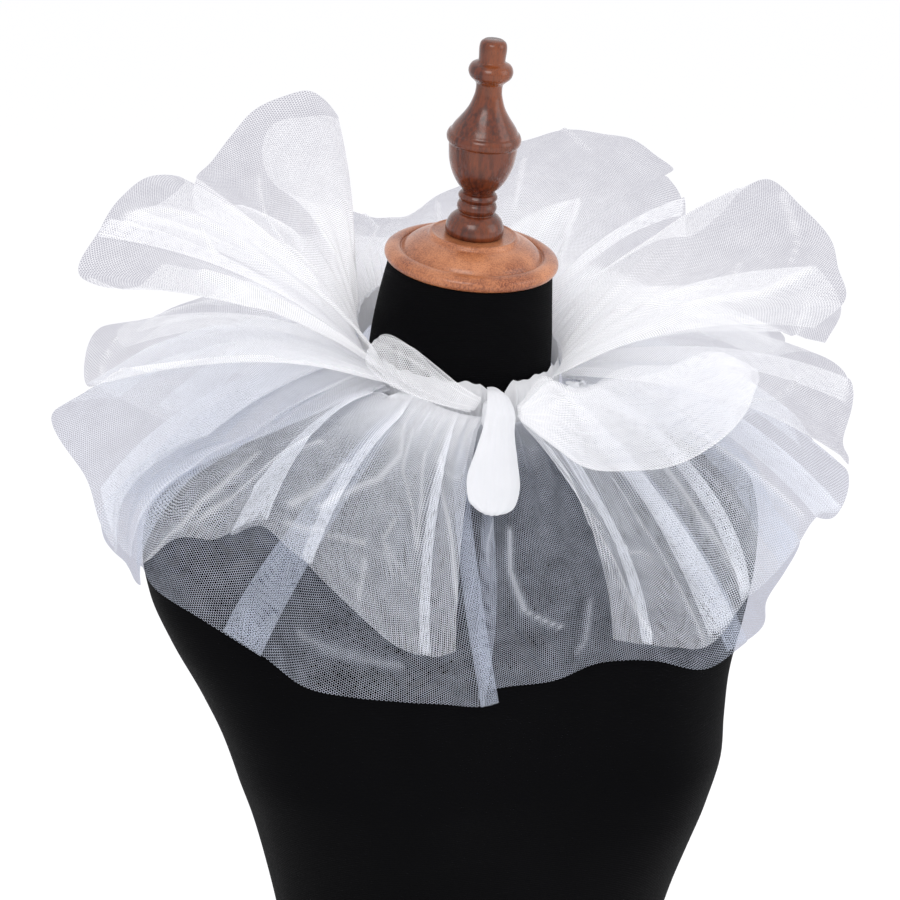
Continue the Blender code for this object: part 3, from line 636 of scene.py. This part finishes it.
def net_material(name, cover, colour, through):
    """Tulle: fine six-sided holes between thin soft threads, closing up where the cloth is gathered. The thread colour
    runs from the given greyer colour, painted shade, to near white where the gather attribute is high, painted light.
    """
    t = Tree(name)
    uv = t.add("ShaderNodeUVMap", uv_map="cloth")
    split = t.add("ShaderNodeSeparateXYZ")
    t.links.new(uv.outputs[0], split.inputs[0])
    u, v = split.outputs[0], split.outputs[1]
    k = 4 * math.pi / (math.sqrt(3) * PITCH * MM)
    across = t.math("MULTIPLY", u, k)
    half = t.math("MULTIPLY", u, k / 2)
    tall = t.math("MULTIPLY", v, k * math.sqrt(3) / 2)
    wave = t.math(
        "ADD",
        t.math("ADD", t.math("COSINE", across), t.math("COSINE", t.math("ADD", half, tall))),
        t.math("COSINE", t.math("SUBTRACT", half, tall)),
    )
    # The knitting isn't quite even, so the thread thickens and thins over a few centimetres.
    patch = t.noise(uv.outputs[0], 60.0, 2.0)
    level = t.math("ADD", cover_level(cover), t.math("MULTIPLY", t.math("SUBTRACT", patch, 0.5), 0.5))
    thread = t.remap(t.math("SUBTRACT", wave, level), -0.35, 0.35, 1.0, 0.0)
    gather = t.add("ShaderNodeAttribute", attribute_name="gather")
    solid = t.math(
        "SUBTRACT", 1.0, t.math("MULTIPLY", t.math("SUBTRACT", 1.0, thread), t.math("SUBTRACT", 1.0, gather.outputs["Fac"])), clamp=True
    )
    front = t.add("ShaderNodeBsdfDiffuse")
    back = t.add("ShaderNodeBsdfTranslucent")
    # Painted light and shade in the thread colour: the greyer colour where the net is sparse, near white where it is
    # gathered.
    painted_shade_to_light_tint = t.blend(t.math("MULTIPLY", gather.outputs["Fac"], 0.9), (*colour, 1), (0.97, 0.97, 0.98, 1))
    t.links.new(painted_shade_to_light_tint, front.inputs["Color"])
    t.links.new(painted_shade_to_light_tint, back.inputs["Color"])
    body = t.add("ShaderNodeMixShader")
    body.inputs[0].default_value = through
    t.links.new(front.outputs[0], body.inputs[1])
    t.links.new(back.outputs[0], body.inputs[2])
    clear = t.add("ShaderNodeBsdfTransparent")
    whole = t.add("ShaderNodeMixShader")
    t.links.new(solid, whole.inputs[0])
    t.links.new(clear.outputs[0], whole.inputs[1])
    t.links.new(body.outputs[0], whole.inputs[2])
    t.links.new(whole.outputs[0], t.out.inputs["Surface"])
    return t.material


def jersey_material():
    """Black stretch jersey: very dark, with fine knit rows and a faint sheen."""
    t = Tree("black_jersey")
    place = t.add("ShaderNodeTexCoord").outputs["Object"]
    rows = t.add("ShaderNodeTexWave", wave_type="BANDS", bands_direction="Z")
    t.links.new(place, rows.inputs["Vector"])
    rows.inputs["Scale"].default_value = 220.0
    rows.inputs["Distortion"].default_value = 1.5
    fine = t.noise(place, 900.0, 2.0)
    broad = t.noise(place, 14.0, 3.0)
    shader = t.add("ShaderNodeBsdfPrincipled")
    tone = t.blend(broad, (0.0014, 0.0014, 0.0017, 1), (0.0026, 0.0026, 0.0031, 1))
    t.links.new(tone, shader.inputs["Base Color"])
    t.links.new(t.remap(fine, 0.3, 0.7, 0.62, 0.8), shader.inputs["Roughness"])
    shader.inputs["Specular IOR Level"].default_value = 0.02
    shader.inputs["Sheen Weight"].default_value = 0.008
    shader.inputs["Sheen Roughness"].default_value = 0.5
    height = t.math("ADD", t.math("MULTIPLY", rows.outputs["Fac"], 0.6), t.math("MULTIPLY", fine, 0.5))
    t.links.new(t.bump(height, 0.0004, 0.5), shader.inputs["Normal"])
    t.links.new(shader.outputs[0], t.out.inputs["Surface"])
    return t.material


def wood_material(name, light, middle, dark, rough, streak, speckle, fine):
    """Stained turned wood: grain that runs along the turning axis, fine pores, and a satin finish."""
    t = Tree(name)
    place = t.add("ShaderNodeTexCoord").outputs["Object"]
    turned = t.add("ShaderNodeVectorRotate", rotation_type="X_AXIS")
    turned.inputs["Angle"].default_value = math.radians(-NECK_TILT)
    turned.inputs["Center"].default_value = (0, CAP_BASE[1] * MM, CAP_BASE[2] * MM)
    t.links.new(place, turned.inputs["Vector"])
    spot = turned.outputs[0]
    grain = t.noise(t.stretch(spot, (1.0, 1.0, streak)), fine, 4.0, 0.65)
    pores = t.noise(t.stretch(spot, (1.0, 1.0, streak * 1.4)), 1300.0, 2.0, 0.6)
    broad = t.noise(t.stretch(spot, (1.0, 1.0, 0.35)), 45.0, 3.0, 0.5)
    colour = t.blend(t.remap(grain, 0.38, 0.60, 0.0, 1.0), dark, middle)
    colour = t.blend(t.remap(broad, 0.3, 0.8, 0.0, 0.8), colour, light)
    flecks = t.remap(pores, 0.56, 0.66, 0.0, speckle)
    colour = t.blend(flecks, colour, dark)
    shader = t.add("ShaderNodeBsdfPrincipled")
    t.links.new(colour, shader.inputs["Base Color"])
    t.links.new(t.remap(grain, 0.3, 0.7, rough + 0.1, rough), shader.inputs["Roughness"])
    shader.inputs["Specular IOR Level"].default_value = 0.35
    shader.inputs["Coat Weight"].default_value = 0.25
    shader.inputs["Coat Roughness"].default_value = 0.12
    t.links.new(t.bump(t.math("ADD", grain, t.math("MULTIPLY", pores, 0.5)), 0.00012, 0.6), shader.inputs["Normal"])
    t.links.new(shader.outputs[0], t.out.inputs["Surface"])
    return t.material


def ribbon_material():
    """Soft white cloth of the neckband and knot: many layers of net pressed together."""
    t = Tree("white_ribbon")
    place = t.add("ShaderNodeTexCoord").outputs["Object"]
    weave = t.noise(place, 1400.0, 2.0)
    soft = t.noise(place, 60.0, 3.0)
    shader = t.add("ShaderNodeBsdfPrincipled")
    t.links.new(t.blend(soft, (0.76, 0.765, 0.79, 1), (0.84, 0.845, 0.865, 1)), shader.inputs["Base Color"])
    shader.inputs["Roughness"].default_value = 0.75
    shader.inputs["Specular IOR Level"].default_value = 0.25
    shader.inputs["Subsurface Weight"].default_value = 0.0
    shader.inputs["Sheen Weight"].default_value = 0.2
    shader.inputs["Sheen Roughness"].default_value = 0.4
    t.links.new(t.bump(weave, 0.00025, 0.5), shader.inputs["Normal"])
    glow = t.add("ShaderNodeBsdfTranslucent")
    glow.inputs["Color"].default_value = (0.86, 0.86, 0.88, 1)
    both = t.add("ShaderNodeMixShader")
    both.inputs[0].default_value = 0.35
    t.links.new(shader.outputs[0], both.inputs[1])
    t.links.new(glow.outputs[0], both.inputs[2])
    t.links.new(both.outputs[0], t.out.inputs["Surface"])
    return t.material


# ---------------------------------------------------------------- making
def smooth_profile(profile, step=0.45):
    """A turned profile with its corners eased a little."""
    rows = np.array(profile, float)
    seg = np.linalg.norm(np.diff(rows, axis=0), axis=1)
    s = np.concatenate([[0], np.cumsum(seg)])
    at = np.arange(0, s[-1], step)
    at = np.append(at, s[-1])
    idx = np.interp(at, s, np.arange(len(rows))) / (len(rows) - 1)
    return spline(rows, np.clip(idx, 0, 1))


def make_form(jersey, cap_wood, finial_wood):
    angles = -np.linspace(0, 2 * math.pi, 220, endpoint=False)
    rings = [torso_ring(z, angles) for z in np.concatenate([[0], np.arange(4, 596, 4.0), [597]])]
    for z in np.linspace(NECK[0][0], NECK[-1][0], 26):
        row = hermite(NECK, z)[0]
        rings.append(neck_ring((z, *row), angles))
    torso = closed_object("torso_cover", rings, jersey)
    tilt = math.radians(NECK_TILT)
    axis = np.array([0, -math.sin(tilt), math.cos(tilt)])
    front = np.array([0, -math.cos(tilt), -math.sin(tilt)])
    made = [torso]
    for name, profile, finish, count in (("neck_cap", CAP_PROFILE, cap_wood, 128), ("finial", FINIAL_PROFILE, finial_wood, 96)):
        turn = -np.linspace(0, 2 * math.pi, count, endpoint=False)[:, None]
        rings = [
            np.array(CAP_BASE) + axis * h + max(r, 0.5) * (np.sin(turn) * np.array([-1.0, 0, 0]) + np.cos(turn) * front)
            for h, r in smooth_profile(profile)
        ]
        made.append(closed_object(name, rings, finish))
    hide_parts("form_torso")
    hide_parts("form_cap")
    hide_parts("form_finial")
    return made


def make_frills():
    made = []
    for name in FRILLS:
        net = NETS[name]
        grid, across, line = frill_surface(name, 1000, 66)
        along, width, ratio = flat_sizes(grid)
        area = float(np.linalg.norm(np.cross(np.diff(grid, axis=0)[:, :-1], np.diff(grid, axis=1)[:-1]), axis=-1).sum()) * MM * MM
        # The declared length is fitted to that limit, 6 to 7 % short of the length measured on the shape. Where the
        # measured area is under 0.7 of length times width, the length kept here is shortened to just above that share,
        # 6 to 7 % short of the length measured on the shape, so it isn't the length cut. The others are as measured.
        share = area / (along[-1] * width[-1] * MM * MM)
        if share < 0.7:
            along = along * share / 0.705
        uv = np.stack(np.broadcast_arrays(along[:, None], width[None, :]), -1)
        # Gather closes up the net and, through the net's tint, turns its thread colour whiter: from tight gathering,
        # plus a painted highlight along the creases (line) and painted light near the neckband (root).
        gather = 1 - (1 - net["cover"]) ** (0.55 * (ratio - 1)) * (1 - 0.42 * line)
        most, reach = net["root"]
        gather = 1 - (1 - gather) * (1 - most * np.exp(-((across[None, :] / reach) ** 2)))
        obj = sheet_object(name + "_net", grid, net_material("tulle_" + name, net["cover"], net["colour"], net["through"]), gather, uv)
        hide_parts(name)
        SHEET_FACTS[name] = (along[-1] * MM, width[-1] * MM, area)
        made.append(obj)
    return made


def band_grid(count=1500, across=21):
    """The neckband: a gathered ribbon that puffs out and stands higher at the front, with a soft uneven upper edge."""
    half_gap = BAND["gap"] / BAND["radius"]
    angles = np.linspace(half_gap, 2 * math.pi - half_gap, count)
    turn = np.abs((angles + math.pi) % (2 * math.pi) - math.pi)
    front = np.clip(1 - (turn / 1.15) ** 2, 0, 1)
    near = np.clip((turn - half_gap) / 0.10, 0, 1)
    wobble = np.sin(angles * 23 + 0.8 * np.sin(angles * 7)) + 0.7 * np.sin(angles * 41 + 1.3)
    top = 0.5 * BAND["width"] + 7.5 * front * (0.35 + 0.65 * near) + 0.7 * wobble
    rows = []
    for k in np.linspace(0, 1, across):
        height = -0.5 * BAND["width"] + (top + 0.5 * BAND["width"]) * k
        puff = 4.6 * front * near * math.sin(math.pi * k**1.6) ** 0.8
        gather = 0.55 * (0.3 + front) * math.sin(math.pi * min(1.0, k * 1.05)) * (np.sin(angles * 96 + 2.2 * np.sin(angles * 11) + 0.9 * k) + 0.6 * np.sin(angles * 57 - 1.4 * k))
        rows.append(foot_point(angles, height, -0.9 + puff + gather * np.clip(k * 3, 0, 1)))
    return np.stack(rows, 1)


def ribbon_grid(path, count, across, waist, puff):
    """A ribbon along a path, its width square to the loop's own plane; it narrows by waist and swells out by puff."""
    run = np.linspace(0, 1, count)
    v = spline(path, run)
    p, width = v[:, :3], v[:, 3] * np.interp(run, *waist)
    plane = np.linalg.svd(p - p.mean(axis=0), full_matrices=False)[2][2]
    out = np.cross(np.gradient(p, axis=0), plane)
    out /= np.maximum(np.linalg.norm(out, axis=-1, keepdims=True), 1e-9)
    if np.sum(out * (p - p.mean(axis=0))) < 0:
        out = -out
    rows = []
    for k in np.linspace(-0.5, 0.5, across):
        swell = puff * ((1 - 4 * k * k) - 0.4) + 0.35 * np.sin(k * 26 + run * 7) * np.sin(math.pi * run)
        rows.append(p + plane * (width * k)[:, None] + out * (swell * np.clip(width / 20, 0, 1))[:, None])
    return np.stack(rows, 1)


def side_loop_grid(count=220, across=81):
    """A wide net loop folded along its lower edge, with soft folds that fan out from the knot."""
    v = spline(SIDE_LOOP, np.linspace(0, 1, count))
    edge, rise, depth = v[:, :3], v[:, 3], v[:, 4]
    out = np.stack([edge[:, 0] * 0.25, np.full(count, -60.0), np.zeros(count)], -1)
    out /= np.linalg.norm(out, axis=-1, keepdims=True)
    lean = np.array([0, SIDE_LOOP_LEAN, 1.0]) / math.hypot(1.0, SIDE_LOOP_LEAN)
    run = np.linspace(0, 1, count)
    rows = []
    for w in np.linspace(-1, 1, across):
        bulge = math.copysign(math.sin(min(1.0, abs(w) * 1.25) * math.pi * 0.62), w)
        fold = np.sin(abs(w) * 15 + 2.0 * np.sin(run * 4 + w) + w * 2) + 0.6 * np.sin(abs(w) * 27 - run * 5)
        ripple = 2.2 * fold * np.sin(np.clip(run * 1.1, 0, 1) * math.pi) * math.sin(abs(w) * math.pi * 0.5)
        uneven = 1 + 0.05 * np.sin(run * 17 + (2 if w > 0 else 0)) * abs(w) - 0.24 * run**2 + 0.6 * np.exp(-(((run - 0.13) / 0.11) ** 2))
        rows.append(edge + out * (depth * 0.5 * bulge + ripple)[:, None] + lean * (rise * uneven * abs(w) ** 1.15)[:, None])
    return np.stack(rows, 1)


def side_loop_layers(count=220, across=81):
    """How closely the loop's threads are drawn together: most by the knot and along the fold."""
    run, w = np.linspace(0, 1, count)[:, None], np.linspace(-1, 1, across)[None, :]
    rib = np.exp(-((np.abs(w) * 7 + 0.5 * np.sin(run * 5) - np.round(np.abs(w) * 7 + 0.5 * np.sin(run * 5))) / 0.12) ** 2)
    near = np.exp(-((run / 0.22) ** 2))
    return np.clip(0.66 * near + 0.25 * np.exp(-((w / 0.05) ** 2)) + 0.20 * rib * (1 - 0.6 * run) + 0.02, 0, 0.8)


def ribbon_layers(count, across, middle):
    """A loop's threads stand closer together along its two edges and where it is held."""
    run, w = np.linspace(0, 1, count)[:, None], np.linspace(-1, 1, across)[None, :]
    held = np.exp(-((run / 0.12) ** 2)) + np.exp(-(((1 - run) / 0.12) ** 2))
    rib = np.exp(-(((np.abs(w) - 0.45 - 0.1 * np.sin(run * 9)) / 0.07) ** 2))
    return np.clip(middle + 0.55 * held + 0.45 * np.exp(-(((1 - np.abs(w)) / 0.10) ** 2)) + 0.3 * rib, 0, 0.85)


def plain_uv(grid):
    run = np.linalg.norm(np.diff(grid, axis=0), axis=-1).max(axis=1)
    rise = np.linalg.norm(np.diff(grid, axis=1), axis=-1).max(axis=0)
    along, across = np.concatenate([[0], np.cumsum(run)]), np.concatenate([[0], np.cumsum(rise)])
    return np.stack(np.broadcast_arrays(along[:, None], across[None, :]), -1), along[-1], across[-1]


def make_ties(ribbon):
    made = []
    net = net_material("tulle_loops", 0.38, (0.93, 0.93, 0.95), 0.5)
    band = band_grid()
    for name, node, grid, finish, slot, layer in (
        ("neckband_ribbon", "neckband", band, ribbon, "ribbon", 0.0),
        ("left_loop_net", "tie_left_loop", ribbon_grid(LEFT_LOOP, 160, 41, LEFT_WAIST, 3.0), net, "tulle", ribbon_layers(160, 41, 0.02)),
        ("drop_loop_ribbon", "tie_drop_loop", ribbon_grid(DROP_LOOP, 160, 33, DROP_WAIST, 2.6), ribbon, "ribbon", 0.0),
        ("side_loop_net", "tie_side_loop", side_loop_grid(), net, "tulle", side_loop_layers()),
    ):
        uv, length, width = plain_uv(grid)
        obj = sheet_object(name, grid, finish, np.broadcast_to(layer, grid.shape[:2]), uv)
        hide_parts(node)
        made.append(obj)
    turn = -np.linspace(0, 2 * math.pi, 72, endpoint=False)[:, None]
    centre, size = np.array(KNOT["centre"]), np.array(KNOT["size"]) / 2
    rings = []
    for k in np.linspace(-0.985, 0.985, 40):
        r = math.sqrt(1 - k * k) ** 0.8
        pinch = 1 - 0.12 * math.cos(k * math.pi)
        crease = 1 + 0.05 * np.sin(turn * 5 + k * 3)
        rings.append(
            centre + np.array([0, 0, size[2] * k])
            + r * pinch * crease * (np.sin(turn) * np.array([-size[0], 0, 0]) + np.cos(turn) * np.array([0, -size[1], 0]))
        )
    knot = closed_object("knot_ribbon", rings, ribbon)
    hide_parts("tie_knot")
    made.append(knot)
    return made


def make_camera():
    azimuth, elevation = math.radians(-22), math.radians(10)
    back = Vector((math.sin(azimuth) * math.cos(elevation), -math.cos(azimuth) * math.cos(elevation), math.sin(elevation)))
    data = bpy.data.cameras.new("view")
    data.lens, data.sensor_width = 126, 36
    data.clip_start, data.clip_end = 0.05, 200
    camera = bpy.data.objects.new("view", data)
    camera.location = Vector((-0.005, 0, 0.564)) + back * 2.0
    camera.rotation_mode = "QUATERNION"
    camera.rotation_quaternion = (-back).to_track_quat("-Z", "Y")
    bpy.context.scene.collection.objects.link(camera)
    bpy.context.scene.camera = camera


def area_light(name, place, target, size, power, colour):
    data = bpy.data.lights.new(name, "AREA")
    data.shape, data.size, data.size_y = "RECTANGLE", size[0], size[1]
    data.energy, data.color = power, colour
    lamp = bpy.data.objects.new(name, data)
    lamp.location = place
    lamp.rotation_mode = "QUATERNION"
    lamp.rotation_quaternion = (Vector(target) - Vector(place)).to_track_quat("-Z", "Y")
    bpy.context.scene.collection.objects.link(lamp)
    return lamp


# The stage is painted this much greyer where the camera sees it through the net, as it looks where the cut-out picture
# kept its studio: painted shade behind the net.
PAINTED_SHADE_BEHIND_NET = (0.51, 0.505, 0.555)


def make_stage():
    world = bpy.data.worlds.new("studio")
    bpy.context.scene.world = world
    world.use_nodes = True
    nodes, links = world.node_tree.nodes, world.node_tree.links
    nodes.clear()
    path = nodes.new("ShaderNodeLightPath")
    less = nodes.new("ShaderNodeMath")
    less.operation = "GREATER_THAN"
    links.new(path.outputs["Transparent Depth"], less.inputs[0])
    less.inputs[1].default_value = 0.5
    both = nodes.new("ShaderNodeMath")
    both.operation = "MULTIPLY"
    links.new(less.outputs[0], both.inputs[0])
    links.new(path.outputs["Is Camera Ray"], both.inputs[1])
    # Painted shade: camera rays that have passed through the net see the world in the greyer colour behind the net.
    mix = nodes.new("ShaderNodeMix")
    mix.data_type = "RGBA"
    links.new(both.outputs[0], mix.inputs[0])
    mix.inputs[6].default_value = (0.98, 0.98, 1.0, 1)
    mix.inputs[7].default_value = (*PAINTED_SHADE_BEHIND_NET, 1)
    sky = nodes.new("ShaderNodeBackground")
    links.new(mix.outputs[2], sky.inputs["Color"])
    sky.inputs["Strength"].default_value = 1.05
    out = nodes.new("ShaderNodeOutputWorld")
    links.new(sky.outputs[0], out.inputs["Surface"])

    t = Tree("pale_floor")
    path = t.add("ShaderNodeLightPath")
    # Painted shade: seen by the camera through the net, the floor takes the greyer colour behind the net.
    through = t.math("MULTIPLY", t.math("GREATER_THAN", path.outputs["Transparent Depth"], 0.5), path.outputs["Is Camera Ray"])
    shader = t.add("ShaderNodeBsdfDiffuse")
    t.links.new(t.blend(through, (0.97, 0.97, 0.97, 1), (*PAINTED_SHADE_BEHIND_NET, 1)), shader.inputs["Color"])
    t.links.new(shader.outputs[0], t.out.inputs["Surface"])
    mesh = bpy.data.meshes.new("floor")
    reach = 60.0
    mesh.from_pydata([(-reach, -reach, 0), (reach, -reach, 0), (reach, reach, 0), (-reach, reach, 0)], [], [(0, 1, 2, 3)])
    mesh.materials.append(t.material)
    floor = bpy.data.objects.new("floor", mesh)
    bpy.context.scene.collection.objects.link(floor)
    area_light("key", (-1.5, -2.4, 2.3), (0, 0, 0.6), (1.6, 1.6), 38, (1.0, 0.99, 0.97))
    area_light("fill", (2.2, -1.6, 1.5), (0, 0, 0.6), (1.6, 2.0), 15, (0.96, 0.98, 1.0))


def main():
    scene = bpy.context.scene
    scene.view_settings.view_transform = "Standard"
    scene.cycles.transparent_max_bounces = 40
    scene.cycles.max_bounces = 12
    make_camera()
    make_stage()
    jersey = jersey_material()
    cap_wood = wood_material("cap_wood", (0.56, 0.232, 0.105, 1), (0.37, 0.125, 0.050, 1), (0.155, 0.040, 0.016, 1), 0.28, 0.6, 0.7, 1000.0)
    finial_wood = wood_material("finial_wood", (0.235, 0.058, 0.013, 1), (0.105, 0.0205, 0.0075, 1), (0.036, 0.007, 0.004, 1), 0.2, 0.12, 0.5, 420.0)
    ribbon = ribbon_material()
    pieces = make_form(jersey, cap_wood, finial_wood)
    pieces += make_frills()
    pieces += make_ties(ribbon)
    for piece in pieces:
        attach(piece, "root")


main()
